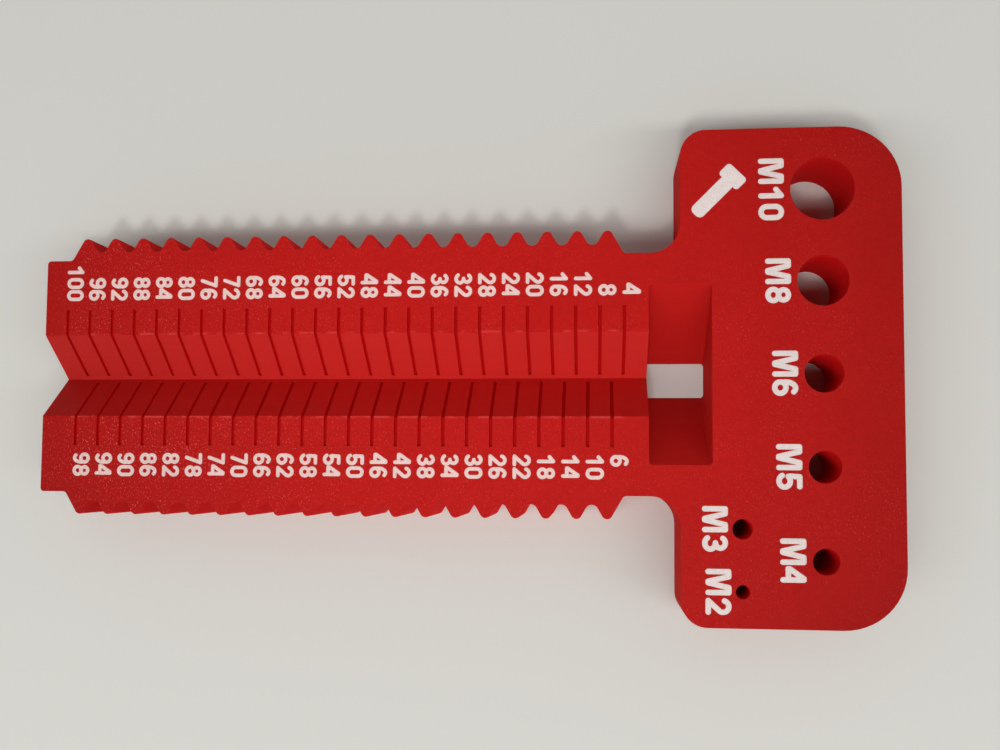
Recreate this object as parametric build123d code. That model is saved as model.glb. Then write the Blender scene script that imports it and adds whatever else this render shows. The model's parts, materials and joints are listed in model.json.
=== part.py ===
"""Screw size gauge, printed in one piece of red plastic.

A long bar carries a V-shaped trough that holds a shank while its length is read on a scale from 4 to
100 mm. The trough ends in a pocket that takes the head, with the zero of the scale at its wall. Both
long edges of the bar have rounded 60 degree teeth like those of a coarse thread. A wider head at the
zero end has seven through holes that test the size of a metric thread.

Units are millimetres. X runs along the bar towards the head, Y across it, Z up out of the marked face.
The origin is under the middle of the overall box, on the face that rests on the table. While the part is
built, Y is measured from the trough's line, and the finished solid is moved to that origin.
"""

from build123d import *
import math
import os

# Whole plate
THICKNESS = 12.0

# Bar with the length scale
BAR_WIDTH = 40.0
BAR_PAST_ZERO = 104.0
BAR_CORNER_RADIUS = 0.6

# Head with the test holes, measured from the zero of the scale. Its outline is a little off the trough's line
HEAD_START = 5.1
HEAD_LENGTH = 35.4
HEAD_WIDTH = 81.4
HEAD_MIDDLE = -0.3
HEAD_OUTER_RADIUS = 10.0
HEAD_SHOULDER_RADIUS = 4.2
HEAD_ROOT_RADIUS = 5.0

# Teeth along both edges of the bar
TOOTH_COUNT = 19
TOOTH_PITCH = 5.0
TOOTH_ANGLE = 60.0
TOOTH_REACH = 3.8
TOOTH_CREST_RADIUS = 0.9
TOOTH_VALLEY_RADIUS = 1.1
TOOTH_FOOT_RADIUS = 0.8
FIRST_CREST = 6.8

# V-shaped trough that holds the shank
TROUGH_WIDTH = 14.0
TROUGH_ANGLE = 90.0

# Tick grooves of the scale: every second one is on the other side of the trough
SCALE_FIRST = 4
SCALE_LAST = 100
SCALE_STEP = 2
TICK_WIDTH = 0.55
TICK_DEPTH = 0.45
TICK_START = 0.6
TICK_OVERRUN_UPPER = 4.4
TICK_OVERRUN_LOWER = 5.0

# Pocket at the zero of the scale, with a slot where its slopes meet the underside
POCKET_LENGTH = 10.2
POCKET_WIDTH = 29.8
POCKET_SLOT_WIDTH = 6.0
POCKET_CORNER_RADIUS = 0.5

# Test holes for metric threads, from the largest down in two rows across the head
HOLE_CLEARANCE = 0.25
MAIN_ROW = [10, 8, 6, 5, 4]
MAIN_ROW_FROM_ZERO = 28.0
MAIN_ROW_SPACING = 15.1
SMALL_ROW = [3, 2]
SMALL_ROW_FROM_ZERO = 14.9
SMALL_ROW_FIRST = -25.15
SMALL_ROW_SPACING = 10.05

# Places worked out from the sizes above
HEAD_END = HEAD_START + HEAD_LENGTH
ZERO_X = (BAR_PAST_ZERO - HEAD_END) / 2
BAR_END_X = ZERO_X - BAR_PAST_ZERO
HEAD_START_X = ZERO_X + HEAD_START
HEAD_END_X = ZERO_X + HEAD_END
TROUGH_SLOPE = math.tan(math.radians(TROUGH_ANGLE / 2))
TROUGH_DEPTH = TROUGH_WIDTH / 2 / TROUGH_SLOPE
CUT_MARGIN = 1.0


def tooth_points():
    """Sharp corners of the teeth on the +Y edge, from the free end of the bar to the head."""
    flank_slope = math.tan(math.radians(TOOTH_ANGLE / 2))
    sharpening = 1 / math.sin(math.radians(TOOTH_ANGLE / 2)) - 1
    edge = BAR_WIDTH / 2
    tip = edge + TOOTH_REACH + TOOTH_CREST_RADIUS * sharpening
    valley = tip - TOOTH_PITCH / 2 / flank_slope
    foot_half = (tip - edge) * flank_slope

    last_crest_x = ZERO_X - FIRST_CREST
    first_crest_x = last_crest_x - (TOOTH_COUNT - 1) * TOOTH_PITCH
    points = [(first_crest_x - foot_half, edge)]
    for index in range(TOOTH_COUNT):
        crest_x = first_crest_x + index * TOOTH_PITCH
        points.append((crest_x, tip))
        if index < TOOTH_COUNT - 1:
            points.append((crest_x + TOOTH_PITCH / 2, valley))
    points.append((last_crest_x + foot_half, edge))
    return points


def round_corners(face, corners, radius):
    """Round the corners of a flat face that lie at the given points."""
    picked = []
    for x, y in corners:
        picked.append(face.vertices().sort_by_distance((x, y, 0))[0])
    return fillet(picked, radius)


def mirrored(points, middle):
    """The same points on the other side of a line along X."""
    return [(x, 2 * middle - y) for x, y in points]


def outline():
    """The plate's outline seen from above, with every corner rounded."""
    teeth = tooth_points()
    edge = BAR_WIDTH / 2
    head_edge = HEAD_MIDDLE + HEAD_WIDTH / 2
    bar = [(BAR_END_X, edge)] + teeth + [(HEAD_START_X, edge)]
    head = [(HEAD_START_X, head_edge), (HEAD_END_X, head_edge)]
    lower = mirrored(bar, 0) + mirrored(head, HEAD_MIDDLE)
    face = make_face(Polyline(*bar, *head, *reversed(lower), close=True))

    crests = teeth[1:-1:2]
    valleys = teeth[2:-1:2]
    rounded = [
        ([(BAR_END_X, edge)], 0, BAR_CORNER_RADIUS),
        ([teeth[0], teeth[-1]], 0, TOOTH_FOOT_RADIUS),
        (crests, 0, TOOTH_CREST_RADIUS),
        (valleys, 0, TOOTH_VALLEY_RADIUS),
        ([(HEAD_START_X, edge)], 0, HEAD_ROOT_RADIUS),
        ([(HEAD_START_X, head_edge)], HEAD_MIDDLE, HEAD_SHOULDER_RADIUS),
        ([(HEAD_END_X, head_edge)], HEAD_MIDDLE, HEAD_OUTER_RADIUS),
    ]
    for corners, middle, radius in rounded:
        face = round_corners(face, corners + mirrored(corners, middle), radius)
    return face


def trough():
    """The V-shaped trough, open at the free end and running into the pocket."""
    above = CUT_MARGIN * TROUGH_SLOPE
    section = Plane.YZ * Polyline(
        (0, THICKNESS - TROUGH_DEPTH),
        (TROUGH_WIDTH / 2 + above, THICKNESS + CUT_MARGIN),
        (-TROUGH_WIDTH / 2 - above, THICKNESS + CUT_MARGIN),
        close=True,
    )
    length = BAR_PAST_ZERO + CUT_MARGIN + POCKET_LENGTH / 2
    start_x = BAR_END_X - CUT_MARGIN
    return Pos(start_x, 0, 0) * extrude(make_face(section), amount=length, dir=(1, 0, 0))


def tick(side, overrun):
    """One tick groove: from near the trough's bottom up its flank and out onto the marked face."""
    half_angle = math.radians(TROUGH_ANGLE / 2)
    floor = THICKNESS - TROUGH_DEPTH - TICK_DEPTH / math.sin(half_angle)
    bend_y = (THICKNESS - TICK_DEPTH - floor) * TROUGH_SLOPE
    end_y = TROUGH_WIDTH / 2 + overrun
    section = Plane.YZ * Polyline(
        (side * TICK_START, floor + TICK_START / TROUGH_SLOPE),
        (side * bend_y, THICKNESS - TICK_DEPTH),
        (side * end_y, THICKNESS - TICK_DEPTH),
        (side * end_y, THICKNESS + CUT_MARGIN),
        (side * TICK_START, THICKNESS + CUT_MARGIN),
        close=True,
    )
    return extrude(make_face(section), amount=TICK_WIDTH / 2, dir=(1, 0, 0), both=True)


def scale_ticks():
    """All tick grooves, on alternate sides of the trough."""
    grooves = {1: tick(1, TICK_OVERRUN_UPPER), -1: tick(-1, TICK_OVERRUN_LOWER)}
    side = 1
    placed = []
    for value in range(SCALE_FIRST, SCALE_LAST + 1, SCALE_STEP):
        placed.append(Pos(ZERO_X - value, 0, 0) * grooves[side])
        side = -side
    return placed


def pocket():
    """The pocket: sides that slope in to a slot through the underside, and upright end walls."""
    top_half = POCKET_WIDTH / 2
    slot_half = POCKET_SLOT_WIDTH / 2
    beyond = CUT_MARGIN * (top_half - slot_half) / THICKNESS
    section = Plane.YZ * Polyline(
        (slot_half - beyond, -CUT_MARGIN),
        (top_half + beyond, THICKNESS + CUT_MARGIN),
        (-top_half - beyond, THICKNESS + CUT_MARGIN),
        (-slot_half + beyond, -CUT_MARGIN),
        close=True,
    )
    block = Pos(ZERO_X, 0, 0) * extrude(make_face(section), amount=POCKET_LENGTH, dir=(1, 0, 0))
    upright = block.edges().filter_by(Axis.X, reverse=True).filter_by(Axis.Y, reverse=True)
    return fillet(upright, POCKET_CORNER_RADIUS)


def test_holes():
    """A through hole for each thread size."""
    depth = THICKNESS + 2 * CUT_MARGIN
    holes = []
    rows = [
        (MAIN_ROW, MAIN_ROW_FROM_ZERO, (len(MAIN_ROW) - 1) / 2 * MAIN_ROW_SPACING, MAIN_ROW_SPACING),
        (SMALL_ROW, SMALL_ROW_FROM_ZERO, SMALL_ROW_FIRST, SMALL_ROW_SPACING),
    ]
    for sizes, from_zero, first_y, spacing in rows:
        for index, size in enumerate(sizes):
            radius = (size + HOLE_CLEARANCE) / 2
            place = Pos(ZERO_X + from_zero, first_y - index * spacing, THICKNESS / 2)
            holes.append(place * Cylinder(radius, depth))
    return holes


def gauge_body():
    """The whole gauge as one printed solid, moved so that the origin is under the middle of its head."""
    plate = extrude(outline(), amount=THICKNESS, dir=(0, 0, 1))
    plate -= trough()
    plate -= pocket()
    plate -= scale_ticks()
    plate -= test_holes()
    return Pos(0, -HEAD_MIDDLE, 0) * plate.solids()[0]


os.makedirs("parts", exist_ok=True)
export_step(gauge_body(), "parts/gauge_body.step")
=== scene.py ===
"""Looks of a screw size gauge: a red print whose marked face holds white lettering.

The lettering is the figures of the scale, the labels of the test holes and a screw sign. Units are metres in
the part's own frame. X runs along the bar towards the head, Y across it, and Z up out of the marked face.
"""

import json
import math
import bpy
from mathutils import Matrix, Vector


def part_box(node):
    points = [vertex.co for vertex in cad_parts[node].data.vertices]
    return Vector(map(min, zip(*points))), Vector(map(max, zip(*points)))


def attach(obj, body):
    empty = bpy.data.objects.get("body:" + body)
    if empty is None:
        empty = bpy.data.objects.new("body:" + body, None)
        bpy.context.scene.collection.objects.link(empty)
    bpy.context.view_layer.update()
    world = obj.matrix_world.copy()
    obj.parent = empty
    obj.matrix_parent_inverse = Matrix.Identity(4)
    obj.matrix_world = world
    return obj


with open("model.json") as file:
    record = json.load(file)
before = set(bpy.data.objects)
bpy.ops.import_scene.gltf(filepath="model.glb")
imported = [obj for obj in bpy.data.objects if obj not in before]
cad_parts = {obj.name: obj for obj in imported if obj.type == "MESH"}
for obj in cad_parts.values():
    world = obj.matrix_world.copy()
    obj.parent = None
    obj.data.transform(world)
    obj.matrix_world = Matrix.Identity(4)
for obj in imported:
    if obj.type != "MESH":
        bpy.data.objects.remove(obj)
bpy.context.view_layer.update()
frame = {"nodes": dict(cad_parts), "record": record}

from types import SimpleNamespace

import bpy
from mathutils import Matrix, Vector
from mathutils.geometry import delaunay_2d_cdt

# The gauge is one flat print in red plastic. It was printed with its marked face down on a rough sheet, which
# left that face grainy. The small pale glints on it are painted highlights, most by the trough and at the
# free end, with a painted highlight along the trough's edges and a painted sheen on its upper flank. Its
# walls and the trough show fine layer lines, and its underside shows the beads of the last layer. Painted
# shade makes the narrow tick grooves a deeper red and darkens the face towards its ends and low corner.
# Painted light makes the walls of the holes, the ticks and the teeth a lighter red.
MM = 0.001
RED = (183, 24, 21)
# The colour of the painted highlights on the red.
RED_GLINT = (226, 84, 80)
# Painted light: the lighter red of the walls among the holes, the ticks and the teeth.
RED_WALL_PAINTED_LIGHT = (216, 18, 20)
# Painted shade: the deeper red of the tick grooves.
RED_GROOVE_SHADE = (182, 7, 7)
RED_GLOW_REACH = 0.6 * MM
# Painted shade: how much darker the face is towards its ends.
RED_PAINTED_END_SHADE = 0.31
GLOSSINESS = 0.05
TRANSLUCENCY = 0.4
EDGE_ROUNDING = 0.15 * MM
EDGE_SAMPLES = 4
HEAD_END_FROM_ZERO = 40.5 * MM

# The finish is laid out in millimetres, back along the bar from the scale's zero and across from the trough.
# A pair of values is where something starts and ends, or where it fades from nothing to its full strength.
LAYER_HEIGHT = 0.2
LAYER_STRETCH = (0.03, 0.03, 1.3)
BEAD_SPACING = 0.42
ON_SURFACE = 0.02
ON_FLANK = 0.05
TROUGH_LINE = 0.3
TROUGH_HALF_WIDTH = 7.0
GROOVE_WALL = (0.25, 0.42)
GROOVE_DEEPEST = 0.6
TICKS_END = 12.2
SCALE_SPAN = (3.0, 101.0)
HOLES_SPAN = (-36.0, -12.0)
HOLES_SIDE = 38.0
TEETH_START = 15.0
END_DISTANCE = 75.0
TO_FREE_END = (10.0, 105.0)
TO_TIP = (97.0, 102.0)
FROM_LOW_SIDE = (-22.0, 6.0)
FROM_TROUGH = (11.0, 20.0)
FROM_TROUGH_EDGE = (0.05, 0.50)
WALL_TILT = (0.1, 0.4)

# How much each pattern or place adds to the painted glints, shade, roughness and relief in millimetres.
GLINT_CROWDING_OF = {"face": 0.10, "patches": 0.22, "free_end": 0.50, "low_corner": 0.4, "trough": 0.7}
GLINTS_BETWEEN_CLUMPS = 0.6
GLINTS_IN_CLUMPS = 1.4
GLINTS_LOST_AT_TIP = 0.5
FEWEST_DASHES = 0.4
# How strongly each painted highlight shows: the spots, the dashes, the trough's edges and the upper flank's
# sheen.
GLINTS_OF = {"fine": 0.85, "dashes": 0.6, "edge_highlight": 0.4, "upper_flank": 0.09}
# Only the low corner's share here is painted shade; the rest is the plastic's own uneven tone.
SHADE_OF = {"clouds": 0.10, "layers": 0.14, "mottle": 0.22, "grain": 0.30, "low_corner": 0.08}
ROUGHNESS_OF = {"grain": 0.20, "glints": -0.10, "walls": 0.20}
RELIEF_OF = {"grain": 0.05, "mottle": 0.05, "glints": 0.04, "layers": 0.016, "beads": 0.03}
PLAIN_SHADE = 1.03
PLAIN_ROUGHNESS = 0.55
# How much of that painted light the walls between the teeth get.
TEETH_WALL_PAINTED_LIGHT = 0.8

body = frame["nodes"]["gauge_body"]
body_low, body_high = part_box("gauge_body")
thickness_mm = (body_high.z - body_low.z) / MM
zero_place = body_high.x - HEAD_END_FROM_ZERO
zero_mm = zero_place / MM


def linear(colour):
    """A colour as it shows on screen, 0 to 255, turned into the shader's own linear values."""
    shares = [part / 255 for part in colour]
    return [s / 12.92 if s <= 0.04045 else ((s + 0.055) / 1.055) ** 2.4 for s in shares] + [1.0]


class Wire:
    """A node's output. Arithmetic on it adds Math nodes to the same tree."""

    def __init__(self, socket):
        self.socket = socket

    def node(self, kind, settings=None, inputs=None):
        """Add any other node: make its settings first, then give its sockets their values or links."""
        tree = self.socket.id_data
        made = tree.nodes.new(kind)
        for name, value in (settings or {}).items():
            setattr(made, name, value)
        for name, value in (inputs or {}).items():
            if isinstance(value, Wire):
                tree.links.new(value.socket, made.inputs[name])
            else:
                made.inputs[name].default_value = value
        return Wire(next(output for output in made.outputs if output.enabled))

    def output(self, name):
        """Another output of the same node."""
        return Wire(self.socket.node.outputs[name])

    def math(self, operation, other=0.0):
        """A Math node with this as its first value."""
        return self.node("ShaderNodeMath", {"operation": operation}, {0: self, 1: other})

    def math_after(self, operation, other):
        """A Math node with this as its second value."""
        return self.node("ShaderNodeMath", {"operation": operation}, {0: other, 1: self})

    def __add__(self, other):
        return self.math("ADD", other)

    def __radd__(self, other):
        return self.math("ADD", other)

    def __sub__(self, other):
        return self.math("SUBTRACT", other)

    def __rsub__(self, other):
        return self.math_after("SUBTRACT", other)

    def __mul__(self, other):
        return self.math("MULTIPLY", other)

    def __rmul__(self, other):
        return self.math("MULTIPLY", other)

    def __truediv__(self, other):
        return self.math("DIVIDE", other)

    def __mod__(self, other):
        return self.math("FLOORED_MODULO", other)

    def __rpow__(self, other):
        return self.math_after("POWER", other)

    def __gt__(self, other):
        return self.math("GREATER_THAN", other)

    def __lt__(self, other):
        return self.math("LESS_THAN", other)

    def __abs__(self):
        return self.math("ABSOLUTE")

    def whole(self):
        """The whole number below this."""
        return self.math("FLOOR")

    def fraction(self):
        """What is left above that whole number."""
        return self.math("FRACT")

    def within(self, low, high):
        """1 between the two values and 0 outside them."""
        return (self > low) * (self < high)

    def step(self, start, end):
        """0 below start and 1 past end, with a smooth rise between them."""
        settings = {"interpolation_type": "SMOOTHSTEP"}
        return self.node("ShaderNodeMapRange", settings, {"Value": self, "From Min": start, "From Max": end})

    def scaled(self, factor):
        """This colour or vector times one number."""
        return self.node("ShaderNodeVectorMath", {"operation": "SCALE"}, {0: self, "Scale": factor})

    def stretched(self, factors):
        """This vector with each of its parts times a number of its own."""
        return self.node("ShaderNodeVectorMath", {"operation": "MULTIPLY"}, {0: self, 1: factors})

    def split(self):
        """The three parts of this vector."""
        parts = self.node("ShaderNodeSeparateXYZ", None, {0: self})
        return [parts.output(axis) for axis in "XYZ"]

    def mix(self, first, second):
        """The first colour where this is 0 and the second where it is 1."""
        factor_socket, first_socket, second_socket = 0, 6, 7
        colours = {factor_socket: self, first_socket: first, second_socket: second}
        return self.node("ShaderNodeMix", {"data_type": "RGBA"}, colours)


def noise(place, per_mm, detail):
    """A cloud of values around 0.5, with this many lumps to the millimetre."""
    return place.node("ShaderNodeTexNoise", None, {"Vector": place, "Scale": per_mm, "Detail": detail})


def glint_spots(place, stretch, turn, start, full):
    """Soft pale spots of painted highlight: the crests of a noise that is drawn out along one way."""
    mapping = {"Vector": place, "Rotation": (0, 0, math.radians(turn)), "Scale": stretch}
    return noise(place.node("ShaderNodeMapping", None, mapping), per_mm=1.0, detail=2.0).step(start, full)


def bulge(position, width):
    """The rounded height of a layer or bead, from 0 at both of its sides to 1 at its middle."""
    share = (position / width).fraction()
    return 4 * share * (1 - share)


def survey(place, normal):
    """Where a point lies in millimetres, and how much it belongs to each part of the print, from 0 to 1."""
    at = SimpleNamespace()
    at.x, at.y, at.height = place.split()
    at.across = abs(at.y - TROUGH_LINE)
    at.before_zero = zero_mm - at.x
    at.face = at.height > thickness_mm - ON_SURFACE
    at.underside = at.height < ON_SURFACE
    at.between_faces = 1 - at.face - at.underside
    at.wall = 1 - abs(normal.split()[2]).step(*WALL_TILT)

    under_face = thickness_mm - at.height
    under_flank = (under_face + at.across - TROUGH_HALF_WIDTH) * math.sqrt(0.5)
    on_bar = at.before_zero > ON_FLANK
    # The trough's upper flank, where a painted sheen lies.
    at.upper_flank = (abs(under_flank) < ON_FLANK) * (under_face > ON_FLANK) * (at.y > TROUGH_LINE) * on_bar
    at.scale = at.before_zero.within(*SCALE_SPAN) * (at.across < TICKS_END)
    depth = under_face.math("MINIMUM", under_flank)
    at.groove = depth.step(*GROOVE_WALL) * (depth < GROOVE_DEEPEST) * at.scale
    among_holes = at.before_zero.within(*HOLES_SPAN) * (abs(at.y) < HOLES_SIDE)
    among_teeth = on_bar * (at.across > TEETH_START)
    # Painted light: the walls among the holes, along the scale and between the teeth get a lighter red.
    at.inner_wall = at.wall * (among_holes + at.scale + TEETH_WALL_PAINTED_LIGHT * among_teeth)
    at.free_end = at.before_zero.step(*TO_FREE_END)
    at.low_corner = at.free_end * (1 - at.y.step(*FROM_LOW_SIDE))
    # How far a point lies towards the ends, where painted shade darkens the face.
    at.ends = (at.x * at.x + at.y * at.y) / END_DISTANCE ** 2
    return at


def painted_glints(place, at):
    """The painted highlights of the marked face, in clumps that are thickest by the trough and at the free
    end.
    """
    patches = noise(place, per_mm=0.06, detail=1.0).step(start=0.36, end=0.62)
    clumps = noise(place, per_mm=0.3, detail=2.0).step(start=0.40, end=0.62)
    near_trough = 1 - at.across.step(*FROM_TROUGH)
    crowding = GLINT_CROWDING_OF["face"] + GLINT_CROWDING_OF["patches"] * patches + GLINT_CROWDING_OF["free_end"] * at.free_end
    crowding = crowding + (GLINT_CROWDING_OF["low_corner"] + GLINT_CROWDING_OF["trough"] * near_trough) * at.low_corner
    crowding = crowding * (1 - GLINTS_LOST_AT_TIP * at.before_zero.step(*TO_TIP))
    crowding = crowding * (GLINTS_BETWEEN_CLUMPS + (GLINTS_IN_CLUMPS - GLINTS_BETWEEN_CLUMPS) * clumps)

    fine = glint_spots(place, stretch=(4.2, 2.6, 1.0), turn=15, start=0.57, full=0.74) * crowding
    dashes = glint_spots(place, stretch=(2.4, 1.2, 1.0), turn=-35, start=0.66, full=0.80)
    dashes = dashes * (FEWEST_DASHES + (1 - FEWEST_DASHES) * crowding)
    # A painted highlight along the trough's edges beside the scale.
    trough_edge = 1 - abs(at.across - TROUGH_HALF_WIDTH).step(*FROM_TROUGH_EDGE)
    edge_highlight = trough_edge * noise(place, per_mm=0.4, detail=2.0).step(start=0.45, end=0.60) * at.scale
    on_face = GLINTS_OF["fine"] * fine + GLINTS_OF["dashes"] * dashes + GLINTS_OF["edge_highlight"] * edge_highlight
    return on_face * at.face + GLINTS_OF["upper_flank"] * at.upper_flank


def printed_material(name, colour, glint, inner_wall, groove, glow_reach, painted_end_shade):
    """Printed plastic: grainy on the marked face, in fine layers up the walls, in beads on the underside."""
    material = bpy.data.materials.new(name)
    material.use_nodes = True
    shader = material.node_tree.nodes["Principled BSDF"]
    shader.inputs["Specular IOR Level"].default_value = GLOSSINESS
    shader.inputs["Subsurface Weight"].default_value = TRANSLUCENCY
    shader.inputs["Subsurface Radius"].default_value = [glow_reach * part for part in linear(colour)[:3]]
    shader.inputs["Subsurface Scale"].default_value = 1.0
    metres = Wire(material.node_tree.nodes.new("ShaderNodeTexCoord").outputs["Object"])
    place = metres.scaled(1 / MM)
    at = survey(place, metres.output("Normal"))
    clouds = noise(place, per_mm=0.11, detail=2.0)
    mottle = noise(place, per_mm=0.9, detail=3.0)
    grain = noise(place, per_mm=3.4, detail=2.0)
    layers = noise(place.stretched(LAYER_STRETCH), per_mm=1.0, detail=3.0)
    glints = painted_glints(place, at)

    shade = PLAIN_SHADE + SHADE_OF["clouds"] * (clouds - 0.5)
    shade = shade + SHADE_OF["layers"] * (layers - 0.5) * at.between_faces
    shade = shade + (SHADE_OF["mottle"] * (mottle - 0.5) + SHADE_OF["grain"] * (grain - 0.5)) * at.face
    # Painted shade: darker towards the ends and at the bar's low corner.
    shade = shade * (1 - painted_end_shade * at.ends) * (1 - SHADE_OF["low_corner"] * at.low_corner)
    # Painted light gives those walls their lighter red.
    plain = at.inner_wall.mix(linear(colour), linear(inner_wall)).scaled(shade)
    # Painted shade gives the tick grooves a deeper red; the painted highlights go over it all.
    tinted = glints.mix(at.groove.mix(plain, linear(groove)), linear(glint))

    rough = PLAIN_ROUGHNESS + ROUGHNESS_OF["grain"] * (grain - 0.5)
    rough = rough + ROUGHNESS_OF["glints"] * glints + ROUGHNESS_OF["walls"] * at.wall

    face_relief = RELIEF_OF["grain"] * grain + RELIEF_OF["mottle"] * mottle + RELIEF_OF["glints"] * glints
    layer_relief = RELIEF_OF["layers"] * bulge(at.height, LAYER_HEIGHT)
    bead_relief = RELIEF_OF["beads"] * bulge((at.x + at.y) * math.sqrt(0.5), BEAD_SPACING)
    relief = face_relief * at.face + layer_relief * at.between_faces + bead_relief * at.underside
    edges = relief.node("ShaderNodeBevel", {"samples": EDGE_SAMPLES}, {"Radius": EDGE_ROUNDING})
    bump = relief.node("ShaderNodeBump", None, {"Height": relief, "Distance": MM, "Normal": edges})

    links = material.node_tree.links
    links.new(tinted.socket, shader.inputs["Base Color"])
    links.new(rough.socket, shader.inputs["Roughness"])
    links.new(bump.socket, shader.inputs["Normal"])
    return material


red_print = printed_material(
    "red_print", RED, RED_GLINT, RED_WALL_PAINTED_LIGHT, RED_GROOVE_SHADE, RED_GLOW_REACH, RED_PAINTED_END_SHADE)
body.data.materials.clear()
body.data.materials.append(red_print)

# The figures of the scale are white plastic, laid first and flush in the red face. Each is drawn with a bead
# of one narrow width, a little pink from the red around it, with rounded ends and filled corners. They stand
# every 4 mm beside the ticks on both sides of the trough and read from one edge of the bar to the other.
UPPER_VALUES = range(4, 101, 4)
LOWER_VALUES = range(6, 99, 4)
MOST_DIGITS = 3
ROUNDING_MARGIN = 0.0001
SCALE_UNIT = 1.0 * MM
BASELINE_BEFORE_TICK = 0.33 * MM
UPPER_FIGURES_START = 13.25 * MM
LOWER_FIGURES_START = -13.0 * MM
FIGURE_HEIGHT = 3.05 * MM
INLAY_RISE = 0.03 * MM
FIGURE_WHITE = (246, 200, 193)
# The colour of the painted highlights on the white.
WHITE_GLINT = (250, 242, 240)
WHITE_GLOW_REACH = 0.2 * MM
# How much of the painted shade towards the ends the white lettering gets.
WHITE_PAINTED_END_SHADE = 0.14

# A glyph is drawn with a height of 1, so its width, bead and gap are shares of that. Its arcs are in degrees.
FIGURE_WIDTH = 0.64
FIGURE_BEAD = 0.205
FIGURE_GAP = 0.05
ARC_STEP = 15
CAP_REACH = 75
SAME_POINT = 1e-6
WELD_DISTANCE = 1e-7


def white_material(name, colour):
    """The white plastic, in the tint that the red around it gives to a bead of this width."""
    return printed_material(name, colour, WHITE_GLINT, colour, colour, WHITE_GLOW_REACH, WHITE_PAINTED_END_SHADE)


figure_print = white_material("figure_print", FIGURE_WHITE)


def arc(x, y, radius_x, radius_y, start, end):
    """Points along part of an ellipse, from one angle in degrees to another."""
    count = max(2, round(abs(end - start) / ARC_STEP))
    turns = [math.radians(start + (end - start) * step / count) for step in range(count + 1)]
    return [(x + radius_x * math.cos(turn), y + radius_y * math.sin(turn)) for turn in turns]


def ring(x, y, radius_x, radius_y):
    """A closed line round an ellipse."""
    return arc(x, y, radius_x, radius_y, 0, 360)


def digit_lines(width, bead):
    """The middle line of each bead in the ten digits, in units of their height."""
    left = base = bead / 2
    right = width - left
    top = 1 - base
    middle = width / 2
    bowl = middle - left
    waist = 0.515
    lower = (waist + base) / 2
    upper = (waist + top) / 2
    lower_reach = lower - base
    upper_reach = top - upper
    zero = arc(middle, top - bowl, bowl, bowl, 0, 180) + arc(middle, base + bowl, bowl, bowl, 180, 360)
    flag = [(middle + 0.04, top - 0.01), (left + 0.02, 0.69)]
    neck = arc(middle, top - bowl, bowl, bowl, 165, -35)
    stem = arc(middle + 0.025, 0.5, bowl + 0.025, top - 0.5, 185, 55)
    six = [ring(middle, lower, bowl, lower_reach + 0.01), stem]
    return {
        "0": [zero + zero[:1]],
        "1": [[(middle + 0.05, base), (middle + 0.05, top)], flag],
        "2": [neck + [(left + 0.02, base + 0.02)], [(left, base), (right, base)]],
        "3": [arc(middle - 0.02, upper, bowl - 0.02, upper_reach, 150, -90),
              arc(middle - 0.01, lower, bowl + 0.01, lower_reach, 90, -150)],
        "4": [[(right - 0.08, base), (right - 0.08, top)], [(right - 0.13, top), (left - 0.06, 0.36)],
              [(left - 0.06, 0.31), (right - 0.08, 0.31)]],
        "5": [[(left + 0.05, top), (right - 0.02, top)], [(left + 0.045, top - 0.01), (left + 0.02, 0.52)],
              arc(middle - 0.01, lower + 0.01, bowl + 0.01, lower_reach + 0.01, 140, -155)],
        "6": six,
        "7": [[(left, top), (right, top)], [(right - 0.01, top - 0.01), (middle - 0.07, base)]],
        "8": [ring(middle, lower, bowl, lower_reach), ring(middle, upper, bowl - 0.02, upper_reach)],
        "9": [[(width - x, 1 - y) for x, y in line] for line in six],
    }


def offset(line, closed, distance):
    """The line moved sideways to its left by a distance."""
    moved = []
    count = len(line)
    for index, point in enumerate(line):
        before = line[index - 1] if index or closed else point
        after = line[(index + 1) % count] if index < count - 1 or closed else point
        along = (Vector(after) - Vector(before)).normalized()
        moved.append(Vector(point) + distance * Vector((-along.y, along.x)))
    return moved


def cap(line, radius):
    """The round end of a bead, past the line's last point."""
    along = Vector(line[-1]) - Vector(line[-2])
    facing = math.degrees(math.atan2(along.y, along.x))
    return [Vector(p) for p in arc(*line[-1], radius, radius, facing - CAP_REACH, facing + CAP_REACH)]


def counter_clockwise(loop):
    """The loop in the order that leaves its inside on the left."""
    area = sum(a.x * b.y - b.x * a.y for a, b in zip(loop, loop[1:] + loop[:1]))
    return loop if area > 0 else loop[::-1]


def bead_edges(line, radius):
    """The outer edge of a bead along the line, and the inner one if the line is closed."""
    if (Vector(line[0]) - Vector(line[-1])).length < SAME_POINT:
        sides = [offset(line[:-1], True, side * radius) for side in (1, -1)]
        sides.sort(key=lambda loop: max(p.y for p in loop), reverse=True)
        return [counter_clockwise(side) for side in sides]
    right = offset(line, False, -radius)
    left = offset(line[::-1], False, -radius)
    return [counter_clockwise(right + cap(line, radius) + left + cap(line[::-1], radius))]


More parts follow.
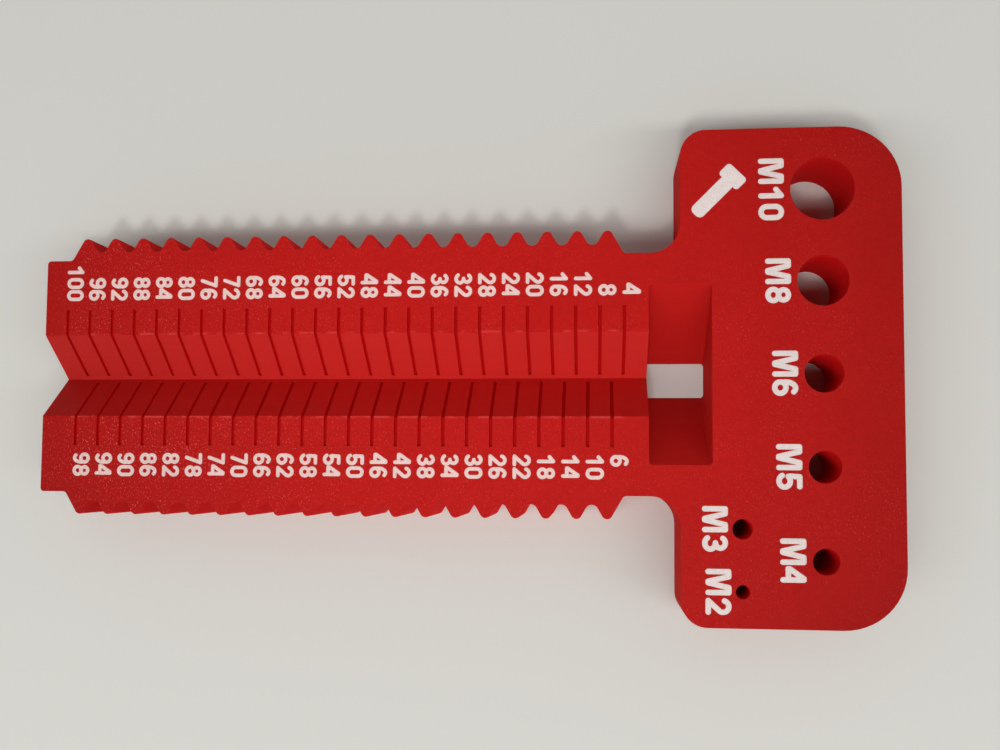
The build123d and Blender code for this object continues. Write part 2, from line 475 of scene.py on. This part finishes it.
def inlay_mesh(name, outlines):
    """A thin white plate, turned so that what is drawn upwards points along the bar towards the head.

    Each outline is an outer loop, with or without the loop of its own opening.
    """
    points = []
    loops = []
    opening_of = {}
    for outline in outlines:
        outer = len(loops)
        for loop in outline:
            loops.append(list(range(len(points), len(points) + len(loop))))
            points += loop
        opening_of[outer] = outer + 1 if len(outline) == 2 else None
    inside_only = 1
    flat, _, triangles, _, _, sources = delaunay_2d_cdt(points, [], loops, inside_only, WELD_DISTANCE)
    kept = []
    for triangle, inside in zip(triangles, sources):
        if any(outer in inside and opening not in inside for outer, opening in opening_of.items()):
            kept.append(list(triangle))
    lower = [(y, -x, 0) for x, y in flat]
    upper = [(y, -x, 1) for x, y in flat]
    count = len(flat)
    edges = {(a, b) for t in kept for a, b in zip(t, t[1:] + t[:1])}
    walls = [(a, b, b + count, a + count) for a, b in edges if (b, a) not in edges]
    faces = [[i + count for i in t] for t in kept] + [t[::-1] for t in kept] + walls
    mesh = bpy.data.meshes.new(name)
    mesh.from_pydata(lower + upper, [], faces)
    return mesh


figures = bpy.data.collections.new("figures")
for digit, lines in digit_lines(FIGURE_WIDTH, FIGURE_BEAD).items():
    plate = inlay_mesh(f"figure_{digit}", [bead_edges(line, FIGURE_BEAD / 2) for line in lines])
    figures.objects.link(bpy.data.objects.new(f"figure_{digit}", plate))


def figures_tree():
    """Geometry nodes that set the value of each tick beside it, digit by digit from the last one."""
    tree = bpy.data.node_groups.new("scale_figures", "GeometryNodeTree")
    kinds = {"Figures": "Collection", "Material": "Material", "Count": "Int"}
    names = ["Figures", "Material", "Count", "First value", "Value step", "Zero place", "Scale unit",
             "Baseline offset", "Height", "Rise", "Digit advance", "Edge", "Align first digit", "Face"]
    for name in names:
        tree.interface.new_socket(name, in_out="INPUT", socket_type="NodeSocket" + kinds.get(name, "Float"))
    tree.interface.new_socket("Geometry", in_out="OUTPUT", socket_type="NodeSocketGeometry")
    given = tree.nodes.new("NodeGroupInput")
    value_of = {name: Wire(given.outputs[name]) for name in names}
    count = value_of["Count"]

    index = count.node("GeometryNodeInputIndex")
    number = (index / MOST_DIGITS).whole()
    place = index - MOST_DIGITS * number
    value = value_of["First value"] + value_of["Value step"] * number
    power = 10 ** place
    digit = (value / power + ROUNDING_MARGIN).whole() % 10
    half = 0.5
    first_place = (value > 10 - half) + (value > 100 - half)
    x = value_of["Zero place"] - value_of["Scale unit"] * value - value_of["Baseline offset"]
    y = value_of["Edge"] + (place - first_place * value_of["Align first digit"]) * value_of["Digit advance"]
    spot = count.node("ShaderNodeCombineXYZ", None, {"X": x, "Y": y, "Z": value_of["Face"]})
    size = count.node("ShaderNodeCombineXYZ", None,
                      {"X": value_of["Height"], "Y": value_of["Height"], "Z": value_of["Rise"]})
    points = count.node("GeometryNodePoints", None, {"Count": count * MOST_DIGITS, "Position": spot})
    separate = {"Collection": value_of["Figures"], "Separate Children": True, "Reset Children": True}
    shapes = count.node("GeometryNodeCollectionInfo", None, separate)
    placed = count.node("GeometryNodeInstanceOnPoints", None, {
        "Points": points,
        "Selection": value > power - half,
        "Instance": shapes,
        "Pick Instance": True,
        "Instance Index": digit,
        "Scale": size,
    })
    solid = count.node("GeometryNodeRealizeInstances", None, {"Geometry": placed})
    coated = {"Geometry": solid, "Material": value_of["Material"]}
    finished = count.node("GeometryNodeSetMaterial", None, coated)
    result = tree.nodes.new("NodeGroupOutput")
    tree.links.new(finished.socket, result.inputs["Geometry"])
    return tree


def plain_object(name, tree, values):
    """An object whose mesh is what the tree makes from these values, with no modifier left on it."""
    maker = bpy.data.objects.new(name + "_maker", bpy.data.meshes.new(name + "_maker"))
    bpy.context.scene.collection.objects.link(maker)
    modifier = maker.modifiers.new("nodes", "NODES")
    modifier.node_group = tree
    for item in tree.interface.items_tree:
        if item.in_out == "INPUT":
            modifier[item.identifier] = values[item.name]
    evaluated = maker.evaluated_get(bpy.context.evaluated_depsgraph_get())
    mesh = bpy.data.meshes.new_from_object(evaluated)
    mesh.name = name
    bpy.data.objects.remove(maker)
    made = bpy.data.objects.new(name, mesh)
    bpy.context.scene.collection.objects.link(made)
    return made


scale_tree = figures_tree()
upper_edge = UPPER_FIGURES_START + FIGURE_WIDTH * FIGURE_HEIGHT
sides = {
    "upper_scale_figures": {"values": UPPER_VALUES, "edge": upper_edge, "align_first": 0.0},
    "lower_scale_figures": {"values": LOWER_VALUES, "edge": LOWER_FIGURES_START, "align_first": 1.0},
}
for name, side in sides.items():
    scale_figures = plain_object(name, scale_tree, {
        "Figures": figures,
        "Material": figure_print,
        "Count": len(side["values"]),
        "First value": float(side["values"].start),
        "Value step": float(side["values"].step),
        "Zero place": zero_place,
        "Scale unit": SCALE_UNIT,
        "Baseline offset": BASELINE_BEFORE_TICK,
        "Height": FIGURE_HEIGHT,
        "Rise": INLAY_RISE,
        "Digit advance": (FIGURE_WIDTH + FIGURE_GAP) * FIGURE_HEIGHT,
        "Edge": side["edge"],
        "Align first digit": side["align_first"],
        "Face": body_high.z,
    })
    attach(scale_figures, "root")

# The labels of the test holes are white plastic like the figures, drawn with the same bead at a larger size.
# Each stands beside its hole, on the side of the bar, with its middle level with the hole's.
LABEL_HEIGHT = 4.15 * MM
LABEL_BEAD = 0.215
LABEL_DIGIT_WIDTH = 0.66
LETTER_WIDTH = 1.02
LETTER_SHOULDER = 0.30
LETTER_FOOT = 0.025
LETTER_GAP = 0.095
DIGIT_GAP = 0.04
LABEL_TO_HOLE = 1.0 * MM
LABEL_TO_SMALL_HOLE = 0.7 * MM
LARGEST_SMALL_HOLE = 3
LABEL_WHITE = (238, 216, 210)

white_print = white_material("white_print", LABEL_WHITE)


def letter_lines(width, bead):
    """The middle lines of the beads in the letter M, whose inner slopes stay close to its legs."""
    edge = bead / 2
    top = 1 - edge
    shoulder = (LETTER_SHOULDER, top)
    foot = (width / 2 - LETTER_FOOT, edge)
    half = [[(edge, edge), (edge, top)], [(edge, top), shoulder], [shoulder, foot]]
    return half + [[(width - x, y) for x, y in line] for line in half]


label_lines = digit_lines(LABEL_DIGIT_WIDTH, LABEL_BEAD)
label_lines["M"] = letter_lines(LETTER_WIDTH, LABEL_BEAD)
label_glyphs = {}
for glyph, lines in label_lines.items():
    label_glyphs[glyph] = inlay_mesh(f"label_{glyph}", [bead_edges(line, LABEL_BEAD / 2) for line in lines])


def joined(name, stamps):
    """One white object from copies of meshes, each with its own placing matrix."""
    vertices = []
    faces = []
    for mesh, matrix in stamps:
        first = len(vertices)
        vertices += [matrix @ v.co for v in mesh.vertices]
        faces += [[first + i for i in p.vertices] for p in mesh.polygons]
    made = bpy.data.objects.new(name, bpy.data.meshes.new(name))
    made.data.from_pydata(vertices, [], faces)
    made.data.materials.append(white_print)
    bpy.context.scene.collection.objects.link(made)
    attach(made, "root")


label_scale = Matrix.Diagonal((LABEL_HEIGHT, LABEL_HEIGHT, INLAY_RISE, 1))
for mount in frame["record"]["mounts"]:
    if not mount["name"].startswith("test_hole_m"):
        continue
    size = int(mount["name"].removeprefix("test_hole_m"))
    text = f"M{size}"
    hole_x, hole_y, _ = mount["pos_m"]
    gap = LABEL_TO_SMALL_HOLE if size <= LARGEST_SMALL_HOLE else LABEL_TO_HOLE
    advances = [LETTER_WIDTH + LETTER_GAP] + [LABEL_DIGIT_WIDTH + DIGIT_GAP] * (len(text) - 1)
    width = (sum(advances) - DIGIT_GAP) * LABEL_HEIGHT
    x = hole_x - mount["dims"]["r_mm"] * MM - gap - LABEL_HEIGHT
    y = hole_y + width / 2
    stamps = []
    for glyph, advance in zip(text, advances):
        stamps.append((label_glyphs[glyph], Matrix.Translation((x, y, body_high.z)) @ label_scale))
        y -= advance * LABEL_HEIGHT
    joined(f"label_m{size}", stamps)

# The sign in the head's corner is a plain picture of a bolt, laid in white plastic at 45 degrees beside the
# largest hole: a shank with a rounded end and a wider head.
SIGN_START_FROM_ZERO = 7.45 * MM
SIGN_START_SIDE = 26.55 * MM
SIGN_TURN = 45
DRAWING_TURN = 90
SHANK_LENGTH = 7.5
SHANK_WIDTH = 2.45
SHANK_END_RADIUS = 0.9
BOLT_HEAD_LENGTH = 2.55
BOLT_HEAD_WIDTH = 4.15
BOLT_HEAD_RADIUS = 0.6


def rounded_box(left, right, half_width, radius):
    """A rectangle along X with rounded corners."""
    corners = [(right, half_width), (left, half_width), (left, -half_width), (right, -half_width)]
    outline = []
    for quarter, (x, y) in enumerate(corners):
        centre_x = x - math.copysign(radius, x - (left + right) / 2)
        centre_y = y - math.copysign(radius, y)
        turn = 90 * quarter
        outline += [Vector(p) for p in arc(centre_x, centre_y, radius, radius, turn, turn + 90)]
    return outline


shank = rounded_box(0, SHANK_LENGTH + BOLT_HEAD_RADIUS, SHANK_WIDTH / 2, SHANK_END_RADIUS)
bolt_head = rounded_box(SHANK_LENGTH, SHANK_LENGTH + BOLT_HEAD_LENGTH, BOLT_HEAD_WIDTH / 2, BOLT_HEAD_RADIUS)
sign_shape = inlay_mesh("screw_sign_shape", [[shank], [bolt_head]])
sign_start = Matrix.Translation((zero_place + SIGN_START_FROM_ZERO, SIGN_START_SIDE, body_high.z))
sign_turn = Matrix.Rotation(math.radians(DRAWING_TURN + SIGN_TURN), 4, "Z")
joined("screw_sign", [(sign_shape, sign_start @ sign_turn @ Matrix.Diagonal((MM, MM, INLAY_RISE, 1)))])

# The table is a plain pale matt round top. A long lamp, level with the bar, and a small one light it from
# high up on the side of the lower figures. A white surround that is dimmer overhead fills the shadows. The
# camera, and a glossy surface, see the surround at one even strength.
TABLE_RADIUS = 0.8
TABLE_CORNERS = 180
TABLE_TOP = -0.02 * MM
TABLE_GREY = (204, 203, 197)
TABLE_ROUGHNESS = 0.8

# A lamp's rise and side are degrees, as seen from the middle of the part, and its power is in watts.
LAMPS = {
    "long_lamp": {"distance": 0.9, "rise": 65.5, "side": 2, "length": 2.6, "width": 0.15, "power": 8.45},
    "small_lamp": {"distance": 0.67, "rise": 60.3, "side": -5, "length": 0.07, "width": 0.07, "power": 1.02},
}
SURROUND = 0.48
BACKDROP = 0.62
OVERHEAD_DIMMING = 0.95
DIMMING_START = math.cos(math.radians(34))
DIMMING_END = math.cos(math.radians(20))

table_mesh = bpy.data.meshes.new("table")
turns = [2 * math.pi * corner / TABLE_CORNERS for corner in range(TABLE_CORNERS)]
rim = [(TABLE_RADIUS * math.cos(turn), TABLE_RADIUS * math.sin(turn), TABLE_TOP) for turn in turns]
table_mesh.from_pydata(rim, [], [range(TABLE_CORNERS)])
table = bpy.data.objects.new("table", table_mesh)
bpy.context.scene.collection.objects.link(table)
table_paint = bpy.data.materials.new("table_paint")
table_paint.use_nodes = True
table_shader = table_paint.node_tree.nodes["Principled BSDF"]
table_shader.inputs["Base Color"].default_value = linear(TABLE_GREY)
table_shader.inputs["Roughness"].default_value = TABLE_ROUGHNESS
table_shader.inputs["Specular IOR Level"].default_value = GLOSSINESS
table_mesh.materials.append(table_paint)

for name, lamp in LAMPS.items():
    light = bpy.data.lights.new(name, "AREA")
    light.shape = "RECTANGLE"
    light.size = lamp["length"]
    light.size_y = lamp["width"]
    light.energy = lamp["power"]
    rise = math.radians(lamp["rise"])
    side = math.radians(lamp["side"])
    towards = Vector((math.sin(side) * math.cos(rise), -math.cos(side) * math.cos(rise), math.sin(rise)))
    holder = bpy.data.objects.new(name, light)
    holder.location = lamp["distance"] * towards
    holder.rotation_euler = towards.to_track_quat("Z", "Y").to_euler()
    bpy.context.scene.collection.objects.link(holder)

world = bpy.data.worlds.new("surround")
world.use_nodes = True
sky = world.node_tree.nodes["Background"]
sky.inputs["Color"].default_value = (1, 1, 1, 1)
direction = Wire(world.node_tree.nodes.new("ShaderNodeTexCoord").outputs["Generated"])
overhead = direction.split()[2].step(DIMMING_START, DIMMING_END)
filling = SURROUND * (1 - OVERHEAD_DIMMING * overhead)
seen = Wire(world.node_tree.nodes.new("ShaderNodeLightPath").outputs["Is Camera Ray"])
seen = (seen + seen.output("Is Glossy Ray") + seen.output("Is Transmission Ray")).math("MINIMUM", 1.0)
strength = filling + seen * (BACKDROP - filling)
world.node_tree.links.new(strength.socket, sky.inputs["Strength"])
bpy.context.scene.world = world

# The camera looks down on the marked face from above the pocket, tilted a little towards the bar's free end.
# Its place, tilt and lens follow from the ticks, edges and hole rims in the photograph.
FOCAL_SHARE = 0.8592
CAMERA_PLACE = (22.78 * MM, -15.33 * MM, 153.14 * MM)
CAMERA_TILT = (2.874, 4.691, 0.113)
VIEW_SHIFT = (-0.0234, 0.0506)
NEAREST_SEEN = 10 * MM

camera = bpy.data.objects.new("camera", bpy.data.cameras.new("camera"))
camera.data.lens = FOCAL_SHARE * camera.data.sensor_width
camera.data.shift_x, camera.data.shift_y = VIEW_SHIFT
camera.data.clip_start = NEAREST_SEEN
camera.location = CAMERA_PLACE
camera.rotation_mode = "ZYX"
camera.rotation_euler = [math.radians(angle) for angle in CAMERA_TILT]
bpy.context.scene.collection.objects.link(camera)
bpy.context.scene.camera = camera
bpy.context.scene.view_settings.view_transform = "Standard"
